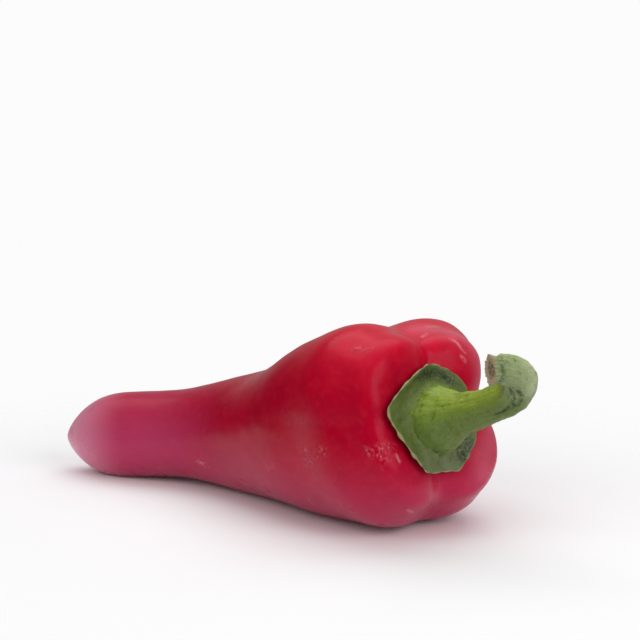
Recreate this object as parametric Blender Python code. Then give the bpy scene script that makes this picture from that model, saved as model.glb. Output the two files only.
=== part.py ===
"""A red bell pepper with its calyx and stem, lying on its side as picked.

The fruit is shaped first about a straight axis: `along` runs from the blossom
tip to the stem end, and an angle goes round it, 0 on the near side and 90 on
top. It is then bowed along its length and laid down on the two lower lobes of
its shoulder and on its tip. Sizes below are in millimetres and degrees, and
the finished objects are in metres.
"""

import bmesh
import bpy
import numpy as np
from mathutils import Vector

MM = 0.001

# Outline of the fruit's wall, as (along, radius): from the tip, up the side, over the shoulder and
# down into the hollow under the calyx
FRUIT_LENGTH = 138.0
SHOULDER_RADIUS = 30.5
FRUIT_OUTLINE = (
    (0.0, 0.0), (0.9, 1.8), (4.5, 6.2), (11.6, 10.9), (23.1, 12.7), (37.4, 13.3),
    (53.4, 16.6), (69.4, 21.1), (85.5, 25.8), (99.7, 29.5), (112.2, 30.7),
    (122.9, SHOULDER_RADIUS), (131.8, 26.8), (137.0, 23.7), (FRUIT_LENGTH, 18.5),
    (137.0, 13.7), (136.0, 6.8), (135.7, 0.0),
)

# Grooves between the lobes: (angle, depth, half width), and how much of each shows along the outline
GROOVES = ((99.4, 0.95, 22.0), (173.0, 1.0, 20.0), (266.0, 1.2, 23.0), (6.3, 0.46, 28.0))
GROOVE_ROUNDING = 8.0
GROOVE_SHARE = (
    (0.0, 0.0), (0.25, 0.03), (0.50, 0.05), (0.70, 0.10), (0.80, 0.12), (0.88, 0.122), (0.95, 0.05),
    (1.0, 0.0),
)
NOTCH_DEPTH = 5.0
NOTCH_SHARE = ((0.0, 0.0), (0.50, 0.0), (0.68, 0.2), (0.80, 1.0), (0.88, 1.1), (0.95, 0.45), (1.0, 0.0))

# The fruit isn't round. Towards the shoulder it grows squarer, with a lobe on each corner. It is also a
# little wider than high, flatter on one side, and its shoulder slopes back towards the near side.
SQUARE_SHARE = (
    (0.0, 0.0), (0.25, 0.005), (0.50, 0.018), (0.70, 0.038), (0.80, 0.048), (0.88, 0.040), (1.0, 0.0),
)
SQUARE_ANGLE = 50.0
OVAL_SHARE = ((0.0, 0.02), (0.30, 0.04), (0.55, 0.12), (0.78, -0.005), (1.0, 0.0))
THREE_SIDED_SHARE = ((0.0, 0.0), (0.30, 0.0), (0.55, -0.036), (0.78, -0.044), (1.0, 0.0))
THREE_SIDED_ANGLE = 85.4
SLOPE = (-2.7, -0.1)
SLOPE_SHARE = ((0.0, 0.0), (0.50, 0.0), (0.80, 1.0), (1.0, 0.6))

# The hollow, the calyx and the stem sit off the fruit's axis, towards the near side
CROWN_OFFSET = (-7.4, -0.8)
OFFSET_START = 0.62
OFFSET_END = 0.89

# Bow of the fruit: its stem end turns towards the near side and lifts
TURN = 27.0
LIFT_AT_TIP = 5.6
LIFT = 9.4
SAG = -1.4
BOW_START = 0.12 * FRUIT_LENGTH
BOW_END = 0.78 * FRUIT_LENGTH

# The fruit lies on its tip end and on the two lower lobes of its shoulder, this far off the middle
TIP_END = 0.25 * FRUIT_LENGTH
SHOULDER_START = 0.6 * FRUIT_LENGTH
LOBE_START = 8.0

# Flat spots where the skin is pressed by the fruit's own weight
PRESSED_DEPTH = 0.5

# Calyx: a thin cap that follows the fruit, drawn out to points, as (angle, reach, half width)
CALYX_RADIUS = 11.8
CALYX_POINTS = (
    (16.0, 6.2, 32.0), (97.0, 1.8, 25.0), (178.0, 0.4, 7.0), (254.0, 2.5, 12.0), (305.0, 3.0, 28.0),
)
POINT_ROUNDING = 4.0
CALYX_EDGE = 1.0
CALYX_MIDDLE = 3.4
CALYX_LIFT = 0.5
GAP = 0.35

# Stem: its centre line from the calyx to the cut end, as (outwards, across, up), and its radius there
STEM_LINE = (
    (0.0, -1.5, -0.1, 8.2), (2.6, -1.8, 0.0, 7.6), (5.4, -2.2, 0.2, 6.3), (8.7, -2.5, 0.5, 5.4),
    (13.4, -2.8, 0.9, 4.9), (18.8, -3.1, 1.5, 4.5), (23.6, -3.5, 2.3, 4.4), (27.5, -3.9, 3.1, 4.4),
    (30.5, -4.4, 4.7, 4.3), (32.6, -5.4, 6.9, 4.2), (33.2, -7.7, 9.1, 4.0), (32.5, -10.3, 10.2, 3.7),
    (31.0, -13.5, 10.7, 3.4),
)
STEM_FOOT_SHARE = 0.13
CUT_END_SHARE = 0.90
CUT_END_HOLLOW = 0.8
FOOT_SPREAD = 2.5

FRUIT_FACETS = (54, 44)
CALYX_FACETS = (44, 24)
STEM_FACETS = (20, 46)

RED = (0.55, 0.008, 0.022, 1.0)
CALYX_GREEN = (0.085, 0.17, 0.04, 1.0)
STEM_GREEN = (0.17, 0.29, 0.05, 1.0)


def smooth_curve(knots, values, at):
    """Natural cubic spline through the values at the knots."""
    knots = np.asarray(knots, float)
    values = np.asarray(values, float)
    count = len(knots)
    step = np.diff(knots)
    rise = np.diff(values, axis=0) / (step[:, None] if values.ndim == 2 else step)
    matrix = np.eye(count)
    right_side = np.zeros_like(values)
    for i in range(1, count - 1):
        matrix[i, i - 1:i + 2] = step[i - 1], 2 * (step[i - 1] + step[i]), step[i]
        right_side[i] = 6 * (rise[i] - rise[i - 1])
    bend = np.linalg.solve(matrix, right_side)
    at = np.clip(np.asarray(at, float), knots[0], knots[-1])
    i = np.clip(np.searchsorted(knots, at, side="right") - 1, 0, count - 2)
    before, after, width = at - knots[i], knots[i + 1] - at, step[i]
    if values.ndim == 2:
        before, after, width = before[:, None], after[:, None], width[:, None]
    cubic = (bend[i] * after**3 + bend[i + 1] * before**3) / (6 * width)
    start = (values[i] / width - bend[i] * width / 6) * after
    end = (values[i + 1] / width - bend[i + 1] * width / 6) * before
    return cubic + start + end


def eased(values, start, end):
    """0 before `start` and 1 past `end`, with a smooth rise between."""
    share = np.clip((values - start) / (end - start), 0.0, 1.0)
    return share**2 * (3 - 2 * share)


def share_along(table, at):
    """Value of a (place, value) table, joined by a smooth curve."""
    places, values = zip(*table)
    return smooth_curve(places, values, at)


def outline_places(points):
    """How far along its own line each point lies, from 0 to 1."""
    steps = np.linalg.norm(np.diff(np.asarray(points, float), axis=0), axis=1)
    run = np.concatenate([[0.0], np.cumsum(steps)])
    return run / run[-1]


def ridges(table, angle, rounding):
    """Sum of the ridges round a circle: each falls off to both sides of its own angle."""
    total = 0.0
    for at, height, half_width in table:
        away = (angle - at + 180.0) % 360.0 - 180.0
        total = total + height * np.exp((rounding - np.hypot(away, rounding)) / half_width)
    return total


def fruit_wall(place, angle):
    """Points of the wall as (along, across, up). `place` is 0 at the tip and 1 in the hollow."""
    outline = smooth_curve(outline_places(FRUIT_OUTLINE), FRUIT_OUTLINE, place)
    along, radius = outline[:, 0], outline[:, 1]
    turn = np.radians(angle)
    groove = ridges(GROOVES, angle, GROOVE_ROUNDING)
    square = share_along(SQUARE_SHARE, place) * np.cos(4 * (turn - np.radians(SQUARE_ANGLE)))
    oval = share_along(OVAL_SHARE, place) * np.cos(2 * turn)
    three_sided = share_along(THREE_SIDED_SHARE, place) * np.cos(3 * (turn - np.radians(THREE_SIDED_ANGLE)))
    radius = radius * (1 - share_along(GROOVE_SHARE, place) * groove) * (1 + square + oval + three_sided)
    along = along - NOTCH_DEPTH * share_along(NOTCH_SHARE, place) * groove
    slope = (SLOPE[0] * np.cos(turn) + SLOPE[1] * np.sin(turn)) * radius / SHOULDER_RADIUS
    along = along + slope * share_along(SLOPE_SHARE, place)
    shift = eased(place, OFFSET_START, OFFSET_END)
    across = CROWN_OFFSET[0] * shift - radius * np.cos(turn)
    up = CROWN_OFFSET[1] * shift + radius * np.sin(turn)
    return np.stack([along, across, up], axis=1)


def fruit_surface(share, angle):
    """The whole skin, with its rings set closer together towards both ends."""
    place = 0.65 * share + 0.35 * (1 - np.cos(np.pi * share)) / 2
    return fruit_wall(place, angle)


def crown_to_fruit(outwards, across, up):
    return np.stack([outwards + FRUIT_LENGTH, across + CROWN_OFFSET[0], up + CROWN_OFFSET[1]], axis=1)


def hollow_height(radius, angle):
    """Height of the fruit's skin under the calyx, at a radius and angle about the crown."""
    places = np.linspace(0.86, 1.0, 90)
    height = np.empty_like(radius)
    for i, (reach, turn) in enumerate(zip(radius, angle)):
        skin = fruit_wall(places, np.full_like(places, turn))
        across = skin[:, 1] - CROWN_OFFSET[0]
        up = skin[:, 2] - CROWN_OFFSET[1]
        height[i] = np.interp(-reach, -np.hypot(across, up), skin[:, 0] - FRUIT_LENGTH)
    return height


def calyx_rim(angle):
    return CALYX_RADIUS + ridges(CALYX_POINTS, angle, POINT_ROUNDING)


def calyx_layer(radius, angle, side):
    """Height of the calyx: `side` is -1 on its underside, 1 on its upper face and 0 at its edge."""
    part = np.clip(radius / calyx_rim(angle), 0.0, 1.0)
    underside = hollow_height(radius, angle) + GAP + CALYX_LIFT * part**6
    thickness = CALYX_EDGE + (CALYX_MIDDLE - CALYX_EDGE) * (1 - part**2) ** 1.5
    return underside + thickness * (1 + side) / 2


def calyx_surface(share, angle):
    """Underside from its middle out to the rim, then the upper face back to the middle."""
    part = np.sin(np.pi * share)
    side = np.tanh(-5.0 * np.cos(np.pi * share))
    radius = part * (CALYX_RADIUS + (calyx_rim(angle) - CALYX_RADIUS) * part**2)
    turn = np.radians(angle)
    outwards = calyx_layer(radius, angle, side)
    return crown_to_fruit(outwards, -radius * np.cos(turn), radius * np.sin(turn))


def stem_path(run):
    """Centre, the two directions across the stem, and the radius, at each share of its length."""
    line = np.array(STEM_LINE)
    places = outline_places(line[:, :3])
    fine = np.linspace(0.0, 1.0, 400)
    path = smooth_curve(places, line, fine)
    centre, radius = path[:, :3], path[:, 3]
    forward = np.gradient(centre, axis=0)
    forward /= np.linalg.norm(forward, axis=1)[:, None]
    near = np.array([0.0, -1.0, 0.0])
    nears = []
    for direction in forward:
        near = near - direction * near.dot(direction)
        near = near / np.linalg.norm(near)
        nears.append(near)
    near = np.array(nears)
    upper = np.cross(near, forward)

    def at(values):
        return np.stack([np.interp(run, fine, column) for column in values.T], axis=1)

    return at(centre), at(near), at(upper), np.interp(run, fine, radius)


def stem_surface(share, angle):
    """Foot from its middle outwards, up the stem, and in over the cut end."""
    foot = np.clip(share / STEM_FOOT_SHARE, 0.0, 1.0)
    end = np.clip((1.0 - share) / (1.0 - CUT_END_SHARE), 0.0, 1.0)
    run = np.clip((share - STEM_FOOT_SHARE) / (CUT_END_SHARE - STEM_FOOT_SHARE), 0.0, 1.0)
    centre, near, upper, radius = stem_path(run)
    turn = np.radians(angle)
    reach = radius * np.minimum(foot, end)
    outward = near * np.cos(turn)[:, None] + upper * np.sin(turn)[:, None]
    points = centre + outward * reach[:, None]
    forward = np.cross(upper, near)
    points = points - forward * (CUT_END_HOLLOW * (1 - end**2))[:, None]
    seat_angle = np.degrees(np.arctan2(points[:, 2], -points[:, 1]))
    seat = calyx_layer(np.hypot(points[:, 1], points[:, 2]), seat_angle, 1.0) + GAP
    points[:, 0] = np.maximum(points[:, 0], 0.0)
    points[:, 0] += seat * np.exp(-points[:, 0] / FOOT_SPREAD)
    return crown_to_fruit(*points.T)


def bow(points):
    """Bends the straight fruit along its length. Past BOW_END it stays as it is, only turned."""
    axis = np.linspace(-0.1 * FRUIT_LENGTH, 1.6 * FRUIT_LENGTH, 300)
    ease = eased(axis, BOW_START, BOW_END)
    turn = np.radians(TURN * ease)
    lift = np.radians(LIFT_AT_TIP + LIFT * ease + SAG * 4 * ease * (1 - ease))
    heading = np.stack([np.cos(lift) * np.cos(turn), -np.cos(lift) * np.sin(turn), np.sin(lift)], axis=1)
    step = axis[1] - axis[0]
    centre = np.concatenate([np.zeros((1, 3)), np.cumsum((heading[1:] + heading[:-1]) / 2 * step, axis=0)])
    across = np.stack([np.sin(turn), np.cos(turn), np.zeros_like(turn)], axis=1)
    up = np.cross(heading, across)

    def at(values):
        return np.stack([np.interp(points[:, 0], axis, column) for column in values.T], axis=1)

    return at(centre) + at(across) * points[:, 1:2] + at(up) * points[:, 2:3]


def settle(fruit, feet_regions):
    """Turn that brings the lowest points of the three regions down to one level."""
    turn = np.eye(3)
    for _ in range(8):
        placed = fruit @ turn.T
        feet = [placed[region][placed[region][:, 2].argmin()] for region in feet_regions]
        normal = np.cross(feet[1] - feet[0], feet[2] - feet[0])
        normal = normal / np.linalg.norm(normal)
        level = Vector(normal).rotation_difference(Vector((0.0, 0.0, 1.0)))
        turn = np.array(level.to_matrix()) @ turn
    return turn


def sphere_shape(facets):
    """A sphere's mesh, with each vertex's share of the way between the poles and its angle."""
    shape = bmesh.new()
    bmesh.ops.create_uvsphere(shape, u_segments=facets[0], v_segments=facets[1], radius=1.0)
    points = np.array([vertex.co for vertex in shape.verts])
    share = np.arccos(np.clip(points[:, 2], -1.0, 1.0)) / np.pi
    angle = np.degrees(np.arctan2(points[:, 1], points[:, 0]))
    return shape, share, angle


def make_material(name, colour, roughness):
    material = bpy.data.materials.new(name)
    material.use_nodes = True
    shader = material.node_tree.nodes["Principled BSDF"]
    shader.inputs["Base Color"].default_value = colour
    shader.inputs["Roughness"].default_value = roughness
    shader.inputs["Metallic"].default_value = 0.0
    return material


def make_object(name, shape, points, material, collection):
    for vertex, point in zip(shape.verts, points * MM):
        vertex.co = point
    mesh = bpy.data.meshes.new(name)
    shape.to_mesh(mesh)
    shape.free()
    mesh.shade_smooth()
    mesh.materials.append(material)
    collection.objects.link(bpy.data.objects.new(name, mesh))


for old in list(bpy.data.objects):
    bpy.data.objects.remove(old)
pepper = bpy.data.collections.new("bell_pepper")
bpy.context.scene.collection.children.link(pepper)

# Shapes about the straight axis
fruit_shape, share, angle = sphere_shape(FRUIT_FACETS)
fruit = fruit_surface(share, angle)
calyx_shape, share, angle = sphere_shape(CALYX_FACETS)
calyx = calyx_surface(share, angle)
stem_shape, share, angle = sphere_shape(STEM_FACETS)
stem = stem_surface(share, angle)

# Bowed, then laid down on the tip and the two lower lobes of the shoulder
tip_end = fruit[:, 0] < TIP_END
shoulder = fruit[:, 0] > SHOULDER_START
feet_regions = (tip_end, shoulder & (fruit[:, 1] < -LOBE_START), shoulder & (fruit[:, 1] > LOBE_START))
fruit = bow(fruit)
level = settle(fruit, feet_regions)
fruit = fruit @ level.T
calyx = bow(calyx) @ level.T
stem = bow(stem) @ level.T

# Pressed flat where it touches, and moved so that the whole stands over the origin
everything = np.concatenate([fruit, calyx, stem])
middle = (everything.min(axis=0) + everything.max(axis=0)) / 2
origin = np.array([middle[0], middle[1], fruit[tip_end, 2].min() + PRESSED_DEPTH])
fruit = fruit - origin
fruit[:, 2] = np.maximum(fruit[:, 2], 0.0)

make_object("fruit", fruit_shape, fruit, make_material("fruit_skin", RED, 0.30), pepper)
make_object("calyx", calyx_shape, calyx - origin, make_material("calyx_green", CALYX_GREEN, 0.60), pepper)
make_object("stem", stem_shape, stem - origin, make_material("stem_green", STEM_GREEN, 0.50), pepper)
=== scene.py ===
"""A red bell pepper of the pointed kind, lying on its side as picked, dressed around its solids.

Pieces are shaped in millimetres and degrees about the fruit's straight axis: `along` runs from the
blossom tip to the stem end, and an angle goes round it, 0 on the near side and 90 on top. They are
then bowed, laid down on the frame's own fruit, and finished in metres.
"""

import math

import bmesh
import bpy
import numpy as np
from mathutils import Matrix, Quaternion, Vector


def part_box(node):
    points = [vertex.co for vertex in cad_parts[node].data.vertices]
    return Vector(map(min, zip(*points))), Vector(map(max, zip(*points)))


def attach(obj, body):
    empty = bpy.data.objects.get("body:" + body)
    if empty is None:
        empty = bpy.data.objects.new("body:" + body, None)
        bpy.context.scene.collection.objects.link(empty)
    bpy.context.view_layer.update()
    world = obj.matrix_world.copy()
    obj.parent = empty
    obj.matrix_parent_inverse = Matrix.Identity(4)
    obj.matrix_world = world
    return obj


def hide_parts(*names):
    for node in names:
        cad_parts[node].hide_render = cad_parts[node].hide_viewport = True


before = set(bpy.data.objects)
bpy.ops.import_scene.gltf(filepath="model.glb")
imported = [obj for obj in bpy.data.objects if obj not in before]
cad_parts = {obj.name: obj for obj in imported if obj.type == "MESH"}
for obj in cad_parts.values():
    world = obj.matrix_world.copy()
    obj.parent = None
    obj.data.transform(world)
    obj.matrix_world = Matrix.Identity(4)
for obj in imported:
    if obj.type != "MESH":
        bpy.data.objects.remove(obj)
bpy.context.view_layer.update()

# The fruit
# A hollow berry of four fleshy lobes, drawn out to a blunt tip, under one tight waxy skin.
# It grew in one piece, so it is one closed surface, pressed flat where it lies.

MM = 0.001
FRUIT_LENGTH = 138.0
SHOULDER_RADIUS = 30.5
FRUIT_OUTLINE = (
    (0.0, 0.0), (0.9, 1.8), (4.5, 6.2), (11.6, 10.9), (23.1, 12.7), (37.4, 13.3),
    (53.4, 16.6), (69.4, 21.1), (85.5, 25.8), (99.7, 29.5), (112.2, 30.7),
    (122.9, SHOULDER_RADIUS), (131.8, 26.8), (137.0, 23.7), (FRUIT_LENGTH, 18.5),
    (137.0, 13.7), (136.0, 6.8), (135.7, 0.0),
)

# Grooves between the lobes as (angle, depth, half width), wider by the softness towards the hollow
GROOVES = ((99.4, 0.95, 22.0), (173.0, 1.0, 20.0), (266.0, 1.2, 23.0), (6.3, 0.46, 28.0))
GROOVE_ROUNDING = 8.0
CROWN_SOFTNESS = 2.5
CROWN_START = 0.76
CROWN_END = 0.88

# How much of each form there is on the way from the tip, 0, to the middle of the hollow, 1
GROOVE_SHARE = (
    (0.0, 0.0), (0.25, 0.03), (0.50, 0.05), (0.70, 0.10), (0.80, 0.12), (0.88, 0.122), (0.95, 0.05),
    (1.0, 0.0),
)
NOTCH_DEPTH = 5.0
NOTCH_SHARE = ((0.0, 0.0), (0.50, 0.0), (0.68, 0.2), (0.80, 1.0), (0.88, 1.1), (0.95, 0.45), (1.0, 0.0))
SQUARE_SHARE = (
    (0.0, 0.0), (0.25, 0.005), (0.50, 0.018), (0.70, 0.038), (0.80, 0.048), (0.88, 0.040), (1.0, 0.0),
)
SQUARE_ANGLE = 50.0
OVAL_SHARE = ((0.0, 0.02), (0.30, 0.04), (0.55, 0.12), (0.78, -0.005), (1.0, 0.0))
THREE_SIDED_SHARE = ((0.0, 0.0), (0.30, 0.0), (0.55, -0.036), (0.78, -0.044), (1.0, 0.0))
THREE_SIDED_ANGLE = 85.4
SLOPE = (-2.7, -0.1)
SLOPE_SHARE = ((0.0, 0.0), (0.50, 0.0), (0.80, 1.0), (1.0, 0.6))
CROWN_OFFSET = (-7.4, -0.8)
OFFSET_START = 0.62
OFFSET_END = 0.89
TURN = 27.0
LIFT_AT_TIP = 5.6
LIFT = 9.4
SAG = -1.4
BOW_START = 0.12 * FRUIT_LENGTH
BOW_END = 0.78 * FRUIT_LENGTH
TIP_END = 0.25 * FRUIT_LENGTH
SHOULDER_START = 0.6 * FRUIT_LENGTH
LOBE_START = 8.0
PRESSED_DEPTH = 0.5

FRUIT_FACETS = (288, 300)
SOLID_FRUIT_FACETS = (54, 44)
SKIN_SWELL = 0.16
SWELL_LENGTH = 26.0
SKIN_RIPPLE = 0.03
RIPPLE_LENGTH = 6.0

SKIN_RED = ((0.39, 0.0008, 0.018, 1), (0.47, 0.0012, 0.022, 1))
DEEP_RED = (0.31, 0.0008, 0.018, 1)
# Painted light: a brighter red for the upper side of the shoulder end, where the light falls.
TOP_LIT_RED = (0.62, 0.004, 0.026, 1)
# Painted reflection of the pale floor: mauve on the lower side and on the tail.
MAUVE_FLOOR_REFLECTION = (0.45, 0.040, 0.112, 1)
DUSTY_PINK = (0.75, 0.08, 0.12, 1)
# Pale pink towards the tip, and as a painted reflection along the rim of the shoulder.
PALE_PINK = (0.78, 0.32, 0.45, 1)
RUBBED_PINK = (0.78, 0.42, 0.46, 1)
HEALED_TAN = (0.38, 0.24, 0.12, 1)

# Marks on the skin, as lines through places on them: scratches, rubbed patches, a painted reflection
# along the rim of the shoulder and a healed spot, each with the distance over which it fades
SCRATCH_WIDTH = 0.36
RUBBED_WIDTH = 1.1
RIM_REFLECTION_WIDTH = 4.0
HEALED_WIDTH = 0.7
SCRATCHES = (
    ((46.3, -0.7, 50.1), (48.0, -0.3, 49.0), (49.4, -0.5, 47.6), (50.2, 0.1, 46.6)),
    ((49.4, -1.5, 45.9), (50.4, -0.7, 44.5)), ((39.1, -3.0, 50.5), (39.6, -0.9, 51.1)),
    ((40.3, -28.4, 24.6), (41.1, -28.0, 23.0)), ((41.8, -22.7, 9.1), (42.3, -19.2, 7.6)),
    ((-69.4, 20.2, 16.6), (-70.9, 19.9, 14.2), (-70.9, 19.1, 12.0), (-70.6, 18.8, 9.8), (-69.9, 18.9, 7.4)),
    ((-28.9, 9.6, 9.4), (-27.1, 9.0, 9.0)),
)
RUBBED = (
    ((36.6, -30.7, 26.8), (39.2, -28.7, 26.7)), ((36.8, -31.2, 24.6), (37.8, -30.9, 23.1)),
    ((-28.9, 9.6, 9.4), (-25.8, 8.6, 8.5)), ((0.1, -12.6, 14.6), (1.8, -14.3, 15.6)),
    ((12.5, -22.3, 22.8), (14.6, -23.7, 22.9)), ((14.3, -22.8, 19.5), (16.6, -24.8, 21.2)),
    ((18.8, -26.4, 22.2), (19.5, -27.0, 24.0), (21.5, -28.1, 23.8)),
    ((12.1, -14.8, 7.7), (13.3, -14.4, 6.7)), ((27.5, -22.5, 50.3), (31.2, -22.5, 50.6)),
    ((33.1, -31.1, 25.4), (34.8, -31.3, 25.3), (36.4, -31.5, 24.2)),
    ((-66.2, 16.3, 8.3), (-63.9, 16.1, 6.5)),
)
RIM_REFLECTION = (
    ((36.0, 2.0, 52.5), (42.0, 3.0, 52.3), (47.0, 3.5, 50.5), (50.5, 4.5, 47.0), (52.5, 5.5, 42.0),
     (53.5, 6.0, 36.0)),
    ((56.4, 3.4, 27.2), (57.2, -0.6, 24.0), (57.2, -2.5, 20.4), (56.9, -4.0, 16.7)),
)
HEALED = (
    ((38.7, 4.0, 52.2), (39.8, 4.8, 52.2), (41.0, 5.4, 52.1)),
)


def smooth_curve(knots, values, at):
    """Natural cubic spline through the values at the knots."""
    knots = np.asarray(knots, float)
    values = np.asarray(values, float)
    count = len(knots)
    step = np.diff(knots)
    rise = np.diff(values, axis=0) / (step[:, None] if values.ndim == 2 else step)
    matrix = np.eye(count)
    right_side = np.zeros_like(values)
    for i in range(1, count - 1):
        matrix[i, i - 1:i + 2] = step[i - 1], 2 * (step[i - 1] + step[i]), step[i]
        right_side[i] = 6 * (rise[i] - rise[i - 1])
    bend = np.linalg.solve(matrix, right_side)
    at = np.clip(np.asarray(at, float), knots[0], knots[-1])
    i = np.clip(np.searchsorted(knots, at, side="right") - 1, 0, count - 2)
    before, after, width = at - knots[i], knots[i + 1] - at, step[i]
    if values.ndim == 2:
        before, after, width = before[:, None], after[:, None], width[:, None]
    cubic = (bend[i] * after**3 + bend[i + 1] * before**3) / (6 * width)
    start = (values[i] / width - bend[i] * width / 6) * after
    end = (values[i + 1] / width - bend[i + 1] * width / 6) * before
    return cubic + start + end


def eased(values, start, end):
    """0 before `start` and 1 past `end`, with a smooth rise between."""
    share = np.clip((values - start) / (end - start), 0.0, 1.0)
    return share**2 * (3 - 2 * share)


def share_along(table, at):
    places, values = zip(*table)
    return smooth_curve(places, values, at)


def outline_places(points):
    """How far along its own line each point lies, from 0 to 1."""
    steps = np.linalg.norm(np.diff(np.asarray(points, float), axis=0), axis=1)
    run = np.concatenate([[0.0], np.cumsum(steps)])
    return run / run[-1]


def ridges(table, angle, rounding):
    """Sum of the ridges round a circle: each falls off to both sides of its own angle."""
    total = 0.0
    for at, height, half_width in table:
        away = (angle - at + 180.0) % 360.0 - 180.0
        total = total + height * np.exp((rounding - np.hypot(away, rounding)) / half_width)
    return total


def fruit_wall(place, angle):
    """Points of the wall as (along, across, up). `place` is 0 at the tip and 1 in the hollow."""
    outline = smooth_curve(outline_places(FRUIT_OUTLINE), FRUIT_OUTLINE, place)
    along, radius = outline[:, 0], outline[:, 1]
    turn = np.radians(angle)
    softness = CROWN_SOFTNESS * eased(place, CROWN_START, CROWN_END)
    groove = ridges(GROOVES, angle, GROOVE_ROUNDING + softness)
    square = share_along(SQUARE_SHARE, place) * np.cos(4 * (turn - math.radians(SQUARE_ANGLE)))
    oval = share_along(OVAL_SHARE, place) * np.cos(2 * turn)
    from_corner = turn - math.radians(THREE_SIDED_ANGLE)
    three_sided = share_along(THREE_SIDED_SHARE, place) * np.cos(3 * from_corner)
    radius = radius * (1 - share_along(GROOVE_SHARE, place) * groove) * (1 + square + oval + three_sided)
    along = along - NOTCH_DEPTH * share_along(NOTCH_SHARE, place) * groove
    slope = (SLOPE[0] * np.cos(turn) + SLOPE[1] * np.sin(turn)) * radius / SHOULDER_RADIUS
    along = along + slope * share_along(SLOPE_SHARE, place)
    shift = eased(place, OFFSET_START, OFFSET_END)
    across = CROWN_OFFSET[0] * shift - radius * np.cos(turn)
    up = CROWN_OFFSET[1] * shift + radius * np.sin(turn)
    return np.stack([along, across, up], axis=1)


def fruit_surface(share, angle):
    """The whole skin, with its rings set closer together towards both ends."""
    place = 0.65 * share + 0.35 * (1 - np.cos(np.pi * share)) / 2
    return fruit_wall(place, angle)


def bow(points):
    """Bends the straight fruit along its length. Past BOW_END it stays as it is, only turned."""
    axis = np.linspace(-0.1 * FRUIT_LENGTH, 1.6 * FRUIT_LENGTH, 300)
    ease = eased(axis, BOW_START, BOW_END)
    turn = np.radians(TURN * ease)
    lift = np.radians(LIFT_AT_TIP + LIFT * ease + SAG * 4 * ease * (1 - ease))
    heading = np.stack([np.cos(lift) * np.cos(turn), -np.cos(lift) * np.sin(turn), np.sin(lift)], axis=1)
    step = axis[1] - axis[0]
    centre = np.concatenate([np.zeros((1, 3)), np.cumsum((heading[1:] + heading[:-1]) / 2 * step, axis=0)])
    across = np.stack([np.sin(turn), np.cos(turn), np.zeros_like(turn)], axis=1)
    up = np.cross(heading, across)

    def at(values):
        return np.stack([np.interp(points[:, 0], axis, column) for column in values.T], axis=1)

    return at(centre) + at(across) * points[:, 1:2] + at(up) * points[:, 2:3]


def sphere_shape(facets):
    """A sphere's mesh, with each vertex's share of the way between the poles and its angle."""
    shape = bmesh.new()
    bmesh.ops.create_uvsphere(shape, u_segments=facets[0], v_segments=facets[1], radius=1.0)
    points = np.array([vertex.co for vertex in shape.verts])
    share = np.arccos(np.clip(points[:, 2], -1.0, 1.0)) / np.pi
    angle = np.degrees(np.arctan2(points[:, 1], points[:, 0]))
    return shape, share, angle


def settle(fruit):
    """Turn that lays the fruit level on its tip and the two lower lobes of its shoulder."""
    shoulder = fruit[:, 0] > SHOULDER_START
    near_lobe, far_lobe = fruit[:, 1] < -LOBE_START, fruit[:, 1] > LOBE_START
    bowed = bow(fruit)
    turn = np.eye(3)
    for _ in range(8):
        placed = bowed @ turn.T
        feet = [placed[region][placed[region][:, 2].argmin()]
                for region in (fruit[:, 0] < TIP_END, shoulder & near_lobe, shoulder & far_lobe)]
        normal = np.cross(feet[1] - feet[0], feet[2] - feet[0])
        level = Vector(normal / np.linalg.norm(normal)).rotation_difference(Vector((0.0, 0.0, 1.0)))
        turn = np.array(level.to_matrix()) @ turn
    return turn


# The surface with as few facets as the solid fruit tells where to lay the skin: its box begins in x
# and y where the solid's does, and its tip sinks into the floor by the depth that is pressed flat
solid_shape, share, angle = sphere_shape(SOLID_FRUIT_FACETS)
solid_shape.free()
solid_fruit = fruit_surface(share, angle)
tip_end = solid_fruit[:, 0] < TIP_END
LEVEL = settle(solid_fruit)
solid_fruit = bow(solid_fruit) @ LEVEL.T
ORIGIN = solid_fruit.min(axis=0) - np.array(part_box("fruit")[0]) / MM
ORIGIN[2] = solid_fruit[tip_end, 2].min() + PRESSED_DEPTH


def laid_down(points):
    return bow(points) @ LEVEL.T - ORIGIN


def waves(points, length, seed):
    """Soft swelling of about +-1 over the points, with waves of about the given length."""
    draw = np.random.default_rng(seed)
    total = np.zeros(len(points))
    for _ in range(14):
        heading = draw.normal(size=3)
        heading *= 2 * np.pi / (length * draw.uniform(0.7, 1.5) * np.linalg.norm(heading))
        total += np.sin(points @ heading + draw.uniform(0, 2 * np.pi))
    return total / math.sqrt(14)


def near_lines(points, lines, width):
    """1 on the lines through the places, falling off smoothly over the width."""
    nearest = np.full(len(points), 1000.0)
    for line in lines:
        for start, end in zip(np.array(line[:-1]), np.array(line[1:])):
            step = end - start
            share = np.clip((points - start) @ step / (step @ step), 0.0, 1.0)
            nearest = np.minimum(nearest, np.linalg.norm(points - start - share[:, None] * step, axis=1))
    return np.exp(-(nearest / width) ** 2)


def outward(shape, points):
    """Vertex normals of the shape once its vertices stand at the points."""
    for vertex, point in zip(shape.verts, points):
        vertex.co = point
    shape.normal_update()
    return np.array([vertex.normal for vertex in shape.verts])


def finish_piece(name, shape, points, material, attributes):
    """Turns the shape into a finished object, with the named values kept on its vertices."""
    for vertex, point in zip(shape.verts, points * MM):
        vertex.co = point
    mesh = bpy.data.meshes.new(name)
    shape.to_mesh(mesh)
    shape.free()
    mesh.shade_smooth()
    mesh.materials.append(material)
    for label, values in attributes.items():
        mesh.attributes.new(label, "FLOAT", "POINT").data.foreach_set("value", values.astype(np.float32))
    piece = bpy.data.objects.new(name, mesh)
    bpy.context.scene.collection.objects.link(piece)
    return piece


def new_material(name):
    material = bpy.data.materials.new(name)
    material.use_nodes = True
    return material, material.node_tree.nodes["Principled BSDF"]


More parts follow.
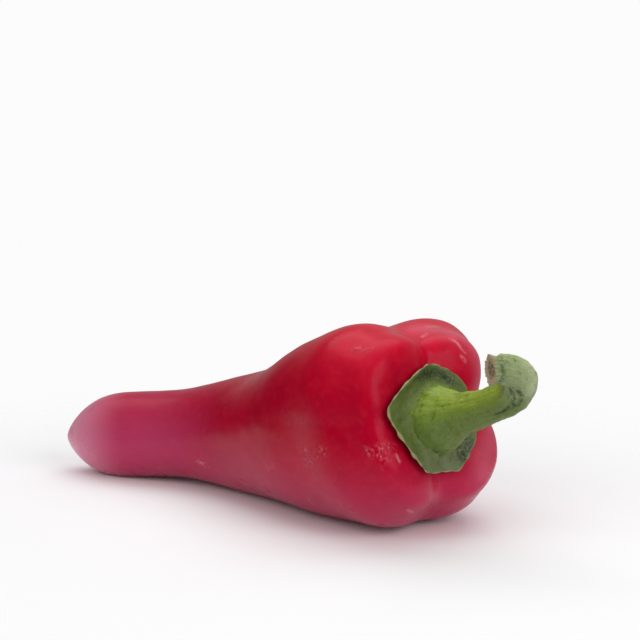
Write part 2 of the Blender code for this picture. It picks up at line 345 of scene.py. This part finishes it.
def add_node(material, kind, inputs=None, **settings):
    """A shader node with its settings and its inputs, each a value or another node's output."""
    node = material.node_tree.nodes.new("ShaderNode" + kind)
    for key, value in settings.items():
        setattr(node, key, value)
    for key, value in (inputs or {}).items():
        if isinstance(value, bpy.types.NodeSocket):
            material.node_tree.links.new(value, node.inputs[key])
        else:
            node.inputs[key].default_value = value
    return node


def object_place(material, stretch=(1.0, 1.0, 1.0), turned=(0.0, 0.0, 0.0)):
    place = add_node(material, "TexCoord").outputs["Object"]
    if stretch == (1.0, 1.0, 1.0) and turned == (0.0, 0.0, 0.0):
        return place
    return add_node(material, "Mapping", {"Vector": place, "Rotation": turned, "Scale": stretch}).outputs[0]


def noise(material, place, size_mm, detail=2.0, roughness=0.5):
    inputs = {"Vector": place, "Scale": 1 / (size_mm * MM), "Detail": detail, "Roughness": roughness}
    return add_node(material, "TexNoise", inputs).outputs["Fac"]


def spread(material, value, low, high, to_low=0.0, to_high=1.0):
    """The value's range from low to high, brought smoothly to another range."""
    inputs = {"Value": value, "From Min": low, "From Max": high, "To Min": to_low, "To Max": to_high}
    return add_node(material, "MapRange", inputs, interpolation_type="SMOOTHSTEP").outputs["Result"]


def combined(material, first, second, operation="MULTIPLY"):
    return add_node(material, "Math", {0: first, 1: second}, operation=operation).outputs[0]


def blended(material, share, first, second):
    """The first colour turned into the second by the share. Each is a value or a node's output."""
    node = add_node(material, "Mix", data_type="RGBA")
    for key, value in (("Factor_Float", share), ("A_Color", first), ("B_Color", second)):
        socket = next(s for s in node.inputs if s.identifier == key)
        if isinstance(value, bpy.types.NodeSocket):
            material.node_tree.links.new(value, socket)
        else:
            socket.default_value = value
    return next(s for s in node.outputs if s.identifier == "Result_Color")


def kept_value(material, label):
    return add_node(material, "Attribute", attribute_name=label).outputs["Fac"]


def skin_material():
    """Deep red wax over red flesh: broad drifts of tone, painted light on top, a painted mauve reflection
    low down, dry rubbed marks.
    """
    material, shader = new_material("pepper_skin")
    place = object_place(material)
    drift = spread(material, noise(material, place, 38.0), 0.32, 0.68)
    fine = spread(material, noise(material, place, 4.0, 1.0), 0.30, 0.75)
    dusty = spread(material, noise(material, place, 1.8, 1.0), 0.45, 0.75, 0.0, 0.06)
    colour = blended(material, drift, *SKIN_RED)
    # Painted light: the upper side of the shoulder end is painted a brighter red.
    colour = blended(material, kept_value(material, "top_light"), colour, TOP_LIT_RED)
    colour = blended(material, combined(material, fine, 0.25), colour, DEEP_RED)
    # Painted reflection: mauve from the pale floor on the lower side and the tail.
    colour = blended(material, kept_value(material, "floor_reflection"), colour, MAUVE_FLOOR_REFLECTION)
    colour = blended(material, dusty, colour, DUSTY_PINK)
    # Paler towards the tip, and a painted reflection along the rim of the shoulder.
    colour = blended(material, kept_value(material, "pale"), colour, PALE_PINK)
    patchy = spread(material, noise(material, place, 0.9, 3.0, 0.7), 0.50, 0.62)
    rubbed = combined(material, combined(material, kept_value(material, "rubbed"), patchy), 0.24)
    broken = spread(material, noise(material, place, 1.6, 3.0, 0.7), 0.36, 0.52, 0.05, 0.5)
    scratched = combined(material, kept_value(material, "scratch"), broken)
    marks = combined(material, rubbed, scratched, "MAXIMUM")
    colour = blended(material, marks, colour, RUBBED_PINK)
    colour = blended(material, kept_value(material, "healed"), colour, HEALED_TAN)
    material.node_tree.links.new(colour, shader.inputs["Base Color"])
    rough = spread(material, noise(material, place, 9.0, 1.0), 0.3, 0.7, 0.27, 0.34)
    material.node_tree.links.new(combined(material, rough, combined(material, marks, 0.3), "ADD"),
                                 shader.inputs["Roughness"])
    shader.inputs["IOR"].default_value = 1.26
    shader.inputs["Specular Tint"].default_value = (1.0, 0.35, 0.50, 1)
    shader.inputs["Coat Weight"].default_value = 0.04
    shader.inputs["Coat Roughness"].default_value = 0.16
    shader.inputs["Subsurface Weight"].default_value = 0.08
    shader.inputs["Subsurface Radius"].default_value = (1.0, 0.15, 0.1)
    shader.inputs["Subsurface Scale"].default_value = 0.003
    return material


fruit_shape, share, angle = sphere_shape(FRUIT_FACETS)
straight = fruit_surface(share, angle)
points = laid_down(straight)
normals = outward(fruit_shape, points)
relief = SKIN_SWELL * waves(points, SWELL_LENGTH, 3) + SKIN_RIPPLE * waves(points, RIPPLE_LENGTH, 8)
points = points + normals * relief[:, None]
points[:, 2] = np.maximum(points[:, 2], 0.0)
# Painted reflection of the pale floor: mauve on the lower side, and on the tail, less towards its top.
low_reflection = 0.85 * (1 - eased(points[:, 2], 2.0, 26.0))
tail_reflection = (1 - eased(straight[:, 0], 30.0, 75.0)) * (1 - 0.6 * eased(straight[:, 2], 1.0, 12.0))
# Paler towards the tip; along the rim of the shoulder, a painted reflection.
pale_tip = 0.9 * (1 - eased(straight[:, 0], 0.0, 24.0))
rim_reflection = 0.20 * near_lines(points, RIM_REFLECTION, RIM_REFLECTION_WIDTH)
fruit_marks = {
    # Painted light: brighter red on the upper side of the shoulder end.
    "top_light": eased(straight[:, 0], 85.0, 130.0) * eased(straight[:, 2], -5.0, 25.0),
    "floor_reflection": np.maximum(low_reflection, tail_reflection),
    "pale": np.maximum(pale_tip, rim_reflection),
    "scratch": near_lines(points, SCRATCHES, SCRATCH_WIDTH),
    "rubbed": near_lines(points, RUBBED, RUBBED_WIDTH),
    "healed": 0.6 * near_lines(points, HEALED, HEALED_WIDTH),
}
fruit = finish_piece("pepper_fruit", fruit_shape, points, skin_material(), fruit_marks)
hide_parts("fruit")
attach(fruit, "root")

# The calyx
# A thin green cap of five joined sepals, seated in the hollow at the stem end.
# It grew there and holds on by its middle, with a free edge that has dried and curled a little.

CALYX_RADIUS = 11.8

# Points of the calyx as (angle, reach past its radius, half width)
CALYX_POINTS = (
    (16.0, 6.2, 32.0), (97.0, 1.8, 25.0), (178.0, 0.4, 7.0), (254.0, 2.5, 12.0), (305.0, 3.0, 28.0),
)
POINT_ROUNDING = 4.0
CALYX_EDGE = 1.1
CALYX_MIDDLE = 3.4
CALYX_LIFT = 1.3
CALYX_VALLEY = 0.7
CALYX_FACETS = (240, 160)
CALYX_RIPPLE = 0.14
GAP = 0.35
HOLLOW_ANGLE_STEP = 3.0
HOLLOW_RADIUS_STEP = 0.25
HOLLOW_RADIUS = 26.0

# Painted shade and light: the darker green for the calyx's underside and outer face, the lighter for its
# raised middle.
CALYX_SHADED_AND_LIT_GREEN = ((0.105, 0.145, 0.028, 1), (0.215, 0.310, 0.042, 1))
# Painted light: the paler, greyer green for the calyx's lower part.
CALYX_PALE_GREEN = (0.180, 0.205, 0.115, 1)
CALYX_DRY_RIM = (0.400, 0.390, 0.190, 1)
FLECK_GREEN = (0.30, 0.34, 0.14, 1)
PIT_GREEN = (0.025, 0.045, 0.018, 1)
# Painted shade: near-black green for the shaded valley, folds, creases and hollows, with dark dry patches.
DRY_PATCH_AND_SHADE_GREEN = (0.020, 0.030, 0.016, 1)

# Lines on the green parts, through places on them: painted shade in the calyx's valley with dark dry
# patches, and folds and creases, dented into the stem and painted dark as shade
DARK_PATCHES = (
    ((51.6, -11.6, 24.3), (52.4, -10.3, 21.4)), ((53.4, -8.6, 25.4), (53.1, -9.3, 22.9)),
    ((42.8, -17.0, 43.2), (44.1, -12.2, 42.9), (46.0, -9.5, 42.1), (48.3, -8.3, 40.7)),
)
FOLDS = (
    ((71.0, -36.8, 45.3), (71.7, -36.0, 43.8), (71.9, -35.2, 42.1), (71.3, -34.6, 41.0)),
    ((73.1, -36.7, 44.7), (74.0, -35.6, 43.3), (73.5, -34.7, 41.9), (72.7, -34.1, 40.7)),
    ((66.2, -31.0, 37.2), (68.0, -32.2, 38.2), (70.0, -33.5, 39.5), (71.9, -34.2, 40.5)),
    ((46.7, -21.3, 24.4), (47.9, -19.1, 23.9), (49.9, -18.5, 24.8)),
    ((48.3, -23.7, 34.5), (48.4, -23.6, 34.2)),
)


def crown_to_fruit(outwards, across, up):
    return np.stack([outwards + FRUIT_LENGTH, across + CROWN_OFFSET[0], up + CROWN_OFFSET[1]], axis=1)


def hollow_table():
    """Height of the skin round the crown, as a table over angle and radius."""
    angles = np.arange(0.0, 360.0 + HOLLOW_ANGLE_STEP, HOLLOW_ANGLE_STEP)
    radii = np.arange(0.0, HOLLOW_RADIUS, HOLLOW_RADIUS_STEP)
    places = np.linspace(0.84, 1.0, 120)
    skin = fruit_wall(np.tile(places, len(angles)), np.repeat(angles, len(places)))
    reach = np.hypot(skin[:, 1] - CROWN_OFFSET[0], skin[:, 2] - CROWN_OFFSET[1]).reshape(len(angles), -1)
    height = (skin[:, 0] - FRUIT_LENGTH).reshape(len(angles), -1)
    return np.array([np.interp(-radii, -r, h) for r, h in zip(reach, height)])


HOLLOW = hollow_table()


def hollow_height(radius, angle):
    """Height of the fruit's skin under the calyx, at a radius and angle about the crown."""
    column = (angle % 360.0) / HOLLOW_ANGLE_STEP
    row = np.clip(radius / HOLLOW_RADIUS_STEP, 0.0, HOLLOW.shape[1] - 1.001)
    i, j = column.astype(int), row.astype(int)
    u, v = column - i, row - j
    low = HOLLOW[i, j] * (1 - v) + HOLLOW[i, j + 1] * v
    high = HOLLOW[i + 1, j] * (1 - v) + HOLLOW[i + 1, j + 1] * v
    return low * (1 - u) + high * u


def calyx_rim(angle):
    return CALYX_RADIUS + ridges(CALYX_POINTS, angle, POINT_ROUNDING)


def calyx_layer(radius, angle, side):
    """Height of the calyx: `side` is -1 on its underside, 1 on its upper face and 0 at its edge."""
    part = np.clip(radius / calyx_rim(angle), 0.0, 1.0)
    underside = hollow_height(radius, angle) + GAP + CALYX_LIFT * part**8
    thickness = CALYX_EDGE + (CALYX_MIDDLE - CALYX_EDGE) * (1 - part**2) ** 1.5
    midribs = ridges(tuple((at, 0.5, 7.0) for at, _, _ in CALYX_POINTS), angle, 3.0)
    valley = CALYX_VALLEY * np.exp(-((part - 0.74) / 0.14) ** 2) * (1 - midribs)
    return underside + (thickness - valley * (side > 0)) * (1 + side) / 2


def calyx_surface(share, angle):
    """Underside from its middle out to the rim, then the upper face back to the middle."""
    part = np.sin(np.pi * share)
    side = np.tanh(-5.0 * np.cos(np.pi * share))
    radius = part * (CALYX_RADIUS + (calyx_rim(angle) - CALYX_RADIUS) * part**2)
    turn = np.radians(angle)
    outwards = calyx_layer(radius, angle, side)
    return crown_to_fruit(outwards, -radius * np.cos(turn), radius * np.sin(turn))


def green_material(name, dark, light, pale, dry):
    """Green flesh with a dull skin, painted light and shade, and pale, dry and dark places. Its mottling is
    drawn out along x.
    """
    material, shader = new_material(name)
    place = object_place(material)
    grain = object_place(material, (0.3, 1.0, 1.0), (0.0, 0.3, -0.5))
    mottle = spread(material, noise(material, grain, 2.6, 5.0, 0.65), 0.35, 0.68)
    # Painted light and shade: the light mark goes from the darker green to the lighter.
    colour = blended(material, kept_value(material, "light"), dark, light)
    # The pale mark: painted light low on the calyx, a paler knuckle on the stem.
    colour = blended(material, kept_value(material, "pale"), colour, pale)
    colour = blended(material, combined(material, mottle, 0.45), colour, dark)
    fleck = spread(material, noise(material, place, 0.5, 3.0, 0.7), 0.55, 0.70, 0.0, 0.30)
    colour = blended(material, fleck, colour, FLECK_GREEN)
    pits = spread(material, noise(material, place, 1.3, 3.0, 0.6), 0.56, 0.70, 0.0, 0.45)
    colour = blended(material, pits, colour, PIT_GREEN)
    colour = blended(material, kept_value(material, "dry"), colour, dry)
    # Painted shade: the dark places, broken up by noise, go to a near-black green.
    patchy = spread(material, noise(material, place, 0.8, 3.0, 0.7), 0.36, 0.56)
    dark_places = combined(material, kept_value(material, "dark"), patchy)
    colour = blended(material, dark_places, colour, DRY_PATCH_AND_SHADE_GREEN)
    material.node_tree.links.new(colour, shader.inputs["Base Color"])
    shader.inputs["Roughness"].default_value = 0.50
    shader.inputs["IOR"].default_value = 1.42
    fibres = noise(material, grain, 1.2, 4.0, 0.6)
    rough = combined(material, fibres, noise(material, place, 0.45), "ADD")
    bump = add_node(material, "Bump", {"Height": rough, "Strength": 0.6, "Distance": 0.00025})
    material.node_tree.links.new(bump.outputs[0], shader.inputs["Normal"])
    return material


calyx_shape, share, angle = sphere_shape(CALYX_FACETS)
points = laid_down(calyx_surface(share, angle))
points = points + outward(calyx_shape, points) * (CALYX_RIPPLE * waves(points, 3.5, 21))[:, None]
edge = np.exp(-((share - 0.5) / 0.045) ** 2)
calyx_marks = {
    # Painted shade and light: darker on the underside and out towards the rim, lighter towards the raised
    # middle.
    "light": eased(share, 0.68, 0.84), "dry": 0.9 * edge,
    # Painted light: paler and greyer towards the bottom of the calyx.
    "pale": 0.6 * (1 - eased(points[:, 2], 19.0, 28.0)),
    # Painted shade in the valley under the rim, with dark dry patches, and in the creases at the stem's
    # foot.
    "dark": 0.9 * near_lines(points, DARK_PATCHES, 1.9) + 0.6 * near_lines(points, FOLDS, 0.5),
}
calyx_skin = green_material("calyx_skin", *CALYX_SHADED_AND_LIT_GREEN, CALYX_PALE_GREEN, CALYX_DRY_RIM)
calyx = finish_piece("pepper_calyx", calyx_shape, points, calyx_skin, calyx_marks)
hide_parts("calyx")
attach(calyx, "root")

# The stem
# The stout green stalk that carried the fruit, broad at its foot and hooked over at its end.
# It grew out of the calyx and was broken off, so its end is ragged and dry.

# Middle line of the stem from the crown, as (outwards, across, up, radius)
STEM_LINE = (
    (0.0, -1.5, -0.1, 8.2), (2.6, -1.8, 0.0, 7.6), (5.4, -2.2, 0.2, 6.3), (8.7, -2.5, 0.5, 5.4),
    (13.4, -2.8, 0.9, 4.9), (18.8, -3.1, 1.5, 4.5), (23.6, -3.5, 2.3, 4.4), (27.5, -3.9, 3.1, 4.4),
    (30.5, -4.4, 4.7, 4.3), (32.6, -5.4, 6.9, 4.2), (33.2, -7.7, 9.1, 4.0), (32.5, -10.3, 10.2, 3.7),
    (31.0, -13.5, 10.7, 3.4),
)
STEM_FOOT_SHARE = 0.13
CUT_END_SHARE = 0.90
CUT_END_HOLLOW = 0.5
FOOT_SPREAD = 2.5
STEM_FACETS = (160, 300)

# Knobs round the foot, one towards each point of the calyx, as (angle, height share, half width)
FOOT_KNOBS = (
    (20.0, 0.16, 13.0), (98.0, 0.10, 13.0), (178.0, 0.10, 13.0), (262.0, 0.20, 13.0), (318.0, 0.12, 13.0),
)
KNOB_REACH = 3.6
KNUCKLE_START = 0.62
STEM_SWELL = 0.12
STEM_RIPPLE = 0.05
FOLD_DEPTH = 0.35
FOLD_WIDTH = 0.55

# Painted light and shade: the darker green for the stem's lower side, the lighter for its upper side.
STEM_SHADED_AND_LIT_GREEN = ((0.130, 0.200, 0.032, 1), (0.320, 0.440, 0.042, 1))
STEM_PALE_GREEN = (0.580, 0.640, 0.390, 1)
STEM_DRY_END = (0.460, 0.350, 0.220, 1)


def stem_path(run):
    """Centre, the two directions across the stem, and the radius, at each share of its length."""
    line = np.array(STEM_LINE)
    places = outline_places(line[:, :3])
    fine = np.linspace(0.0, 1.0, 400)
    path = smooth_curve(places, line, fine)
    centre, radius = path[:, :3], path[:, 3]
    forward = np.gradient(centre, axis=0)
    forward /= np.linalg.norm(forward, axis=1)[:, None]
    near = np.array([0.0, -1.0, 0.0])
    nears = []
    for direction in forward:
        near = near - direction * near.dot(direction)
        near = near / np.linalg.norm(near)
        nears.append(near)
    near = np.array(nears)
    upper = np.cross(near, forward)

    def at(values):
        return np.stack([np.interp(run, fine, column) for column in values.T], axis=1)

    return at(centre), at(near), at(upper), np.interp(run, fine, radius)


STEM_LENGTH = np.linalg.norm(np.diff(np.array(STEM_LINE)[:, :3], axis=0), axis=1).sum()


def stem_surface(share, angle):
    """Foot from its middle outwards, up the stem, and in over the cut end."""
    foot = np.clip(share / STEM_FOOT_SHARE, 0.0, 1.0)
    end = np.clip((1.0 - share) / (1.0 - CUT_END_SHARE), 0.0, 1.0)
    run = np.clip((share - STEM_FOOT_SHARE) / (CUT_END_SHARE - STEM_FOOT_SHARE), 0.0, 1.0)
    centre, near, upper, radius = stem_path(run)
    turn = np.radians(angle)
    from_end = (1.0 - run) * STEM_LENGTH
    corners = 0.030 * np.cos(5 * turn + 0.6) + 0.010 * np.cos(17 * turn + 1.0) + 0.008 * np.cos(29 * turn)
    knobs = ridges(FOOT_KNOBS, angle, 4.0) * np.exp(-np.maximum(centre[:, 0], 0.0) / KNOB_REACH)
    lip = 0.10 * np.exp(-((from_end - 0.5) / 0.5) ** 2) - 0.10 * np.exp(-((from_end - 2.0) / 0.7) ** 2)
    ragged = 0.05 * (np.cos(7 * turn) + np.cos(13 * turn + 2) + np.cos(24 * turn)) * np.exp(-from_end / 0.8)
    radius = radius * (1 + corners + knobs + lip + ragged)
    reach = radius * np.minimum(foot, end)
    outward_here = near * np.cos(turn)[:, None] + upper * np.sin(turn)[:, None]
    points = centre + outward_here * reach[:, None]
    forward = np.cross(upper, near)
    points = points - forward * (CUT_END_HOLLOW * (1 - end**2))[:, None]
    seat_angle = np.degrees(np.arctan2(points[:, 2], -points[:, 1]))
    seat = calyx_layer(np.hypot(points[:, 1], points[:, 2]), seat_angle, 1.0)
    points[:, 0] = np.maximum(points[:, 0], 0.0)
    points[:, 0] += (seat - 0.3) * np.exp(-points[:, 0] / FOOT_SPREAD)
    return crown_to_fruit(*points.T)


stem_shape, share, angle = sphere_shape(STEM_FACETS)
points = laid_down(stem_surface(share, angle))
run = np.clip((share - STEM_FOOT_SHARE) / (CUT_END_SHARE - STEM_FOOT_SHARE), 0.0, 1.0)
folded = near_lines(points, FOLDS, FOLD_WIDTH)
relief = STEM_SWELL * waves(points, 5.0, 31) + STEM_RIPPLE * waves(points, 1.8, 32) - FOLD_DEPTH * folded
points = points + outward(stem_shape, points) * (relief * eased(share, 0.10, 0.16))[:, None]
knuckle = eased(run, KNUCKLE_START, 0.80)
cut = eased(share, 0.885, 0.902)
groove = np.exp(-(((1 - run) * STEM_LENGTH - 2.0) / 0.6) ** 2) * (share < CUT_END_SHARE)
stem_marks = {
    # Painted light: the stem is painted lighter on its upper side, away from its foot.
    "light": eased(np.sin(np.radians(angle)), -0.5, 0.8) * eased(share, 0.05, 0.25),
    "pale": knuckle * (1 - cut) * (0.4 + 0.6 * eased(points[:, 0], 73.5, 77.0)), "dry": cut,
    # Painted shade: dark in the folds, in the groove behind the cut end and in the hollow of the cut end.
    "dark": np.clip(0.9 * folded + 0.7 * groove + 0.8 * eased(share, 0.925, 0.95), 0.0, 1.0),
}
stem_skin = green_material("stem_skin", *STEM_SHADED_AND_LIT_GREEN, STEM_PALE_GREEN, STEM_DRY_END)
stem = finish_piece("pepper_stem", stem_shape, points, stem_skin, stem_marks)
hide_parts("stem")
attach(stem, "root")

# The stage
# A pale floor without a visible end, in a room that is bright overhead and behind and dim in front.
# The camera sees the backdrop white, and only reflections and shade see the room.

FLOOR_RADIUS = 6.0
FLOOR_FADE_START = 0.085
FLOOR_FADE_END = 0.19
PAPER_COLOUR = (0.94, 0.94, 0.95, 1)
PAPER_WHITE = 0.97
ROOM_DIM = 0.015

# Bright parts of the room: the axis towards each, where it begins and is full, and how bright it is
ROOM_BRIGHT = (("Z", 0.45, 0.95, 0.8), ("Y", 0.35, 0.90, 0.35))

stage_shape = bmesh.new()
bmesh.ops.create_circle(stage_shape, cap_ends=True, segments=96, radius=FLOOR_RADIUS)
stage_mesh = bpy.data.meshes.new("floor")
stage_shape.to_mesh(stage_mesh)
stage_shape.free()
paper, paper_shader = new_material("pale_paper")
paper_shader.inputs["Base Color"].default_value = PAPER_COLOUR
paper_shader.inputs["Roughness"].default_value = 0.9
paper_shader.inputs["Specular IOR Level"].default_value = 0.0
away = add_node(paper, "VectorMath", {0: object_place(paper)}, operation="LENGTH").outputs["Value"]
faded = spread(paper, away, FLOOR_FADE_START, FLOOR_FADE_END)
clear = add_node(paper, "BsdfTransparent").outputs[0]
surface = add_node(paper, "MixShader", {0: faded, 1: paper_shader.outputs[0], 2: clear}).outputs[0]
paper.node_tree.links.new(surface, paper.node_tree.nodes["Material Output"].inputs["Surface"])
stage_mesh.materials.append(paper)
floor = bpy.data.objects.new("floor", stage_mesh)
bpy.context.scene.collection.objects.link(floor)

world = bpy.data.worlds.new("soft_room")
bpy.context.scene.world = world
world.use_nodes = True
sky = world.node_tree.nodes
heading = sky.new("ShaderNodeSeparateXYZ")
world.node_tree.links.new(sky.new("ShaderNodeTexCoord").outputs["Generated"], heading.inputs[0])
bright = sky.new("ShaderNodeMath")
bright.operation = "MAXIMUM"
for i, (axis, start, full, strongest) in enumerate(ROOM_BRIGHT):
    towards = sky.new("ShaderNodeMapRange")
    towards.interpolation_type = "SMOOTHSTEP"
    world.node_tree.links.new(heading.outputs[axis], towards.inputs["Value"])
    towards.inputs["From Min"].default_value = start
    towards.inputs["From Max"].default_value = full
    towards.inputs["To Min"].default_value = ROOM_DIM
    towards.inputs["To Max"].default_value = strongest
    world.node_tree.links.new(towards.outputs[0], bright.inputs[i])
seen = sky.new("ShaderNodeLightPath").outputs["Is Camera Ray"]
strength = sky.new("ShaderNodeMix")
world.node_tree.links.new(seen, strength.inputs["Factor"])
world.node_tree.links.new(bright.outputs[0], strength.inputs["A"])
strength.inputs["B"].default_value = PAPER_WHITE
world.node_tree.links.new(strength.outputs["Result"], sky["Background"].inputs["Strength"])
sky["Background"].inputs["Color"].default_value = (1.0, 1.0, 1.0, 1)


def soft_light(name, place, aim, size, power, reflected=True):
    """A soft box: place, aim and size in metres, power in watts, and whether it shows as a gleam."""
    light = bpy.data.lights.new(name, "AREA")
    light.shape = "RECTANGLE"
    light.size, light.size_y = size
    light.energy = power
    lamp = bpy.data.objects.new(name, light)
    lamp.location = place
    lamp.rotation_mode = "QUATERNION"
    lamp.rotation_quaternion = (Vector(aim) - Vector(place)).to_track_quat("-Z", "Y")
    lamp.visible_glossy = reflected
    bpy.context.scene.collection.objects.link(lamp)


soft_light("overhead_light", (-0.10, 0.30, 0.75), (0.0, 0.0, 0.03), (1.1, 0.6), 2.6)
soft_light("front_fill", (-0.40, -0.95, 0.60), (0.0, 0.0, 0.03), (1.2, 0.8), 5.0, reflected=False)
soft_light("end_light", (0.90, -0.45, 0.45), (0.03, 0.0, 0.03), (0.8, 0.8), 6.5)

# The camera
# It stands on the near side, a little towards the stem end, and looks slightly down.

CAMERA_PLACE = (0.19895, -0.55018, 0.14730)
CAMERA_AZIMUTH = 18.95
CAMERA_HEIGHT_ANGLE = 9.22
CAMERA_ROLL = 0.30
LENS = 125.02

turn, lean = math.radians(CAMERA_AZIMUTH), math.radians(CAMERA_HEIGHT_ANGLE)
back = Vector((math.sin(turn) * math.cos(lean), -math.cos(turn) * math.cos(lean), math.sin(lean)))
camera = bpy.data.objects.new("camera", bpy.data.cameras.new("camera"))
camera.data.lens = LENS
camera.data.clip_start = 0.01
camera.location = CAMERA_PLACE
camera.rotation_mode = "QUATERNION"
level_view = (-back).to_track_quat("-Z", "Y")
camera.rotation_quaternion = level_view @ Quaternion((0, 0, 1), math.radians(CAMERA_ROLL))
bpy.context.scene.collection.objects.link(camera)
bpy.context.scene.camera = camera
bpy.context.scene.view_settings.view_transform = "Standard"
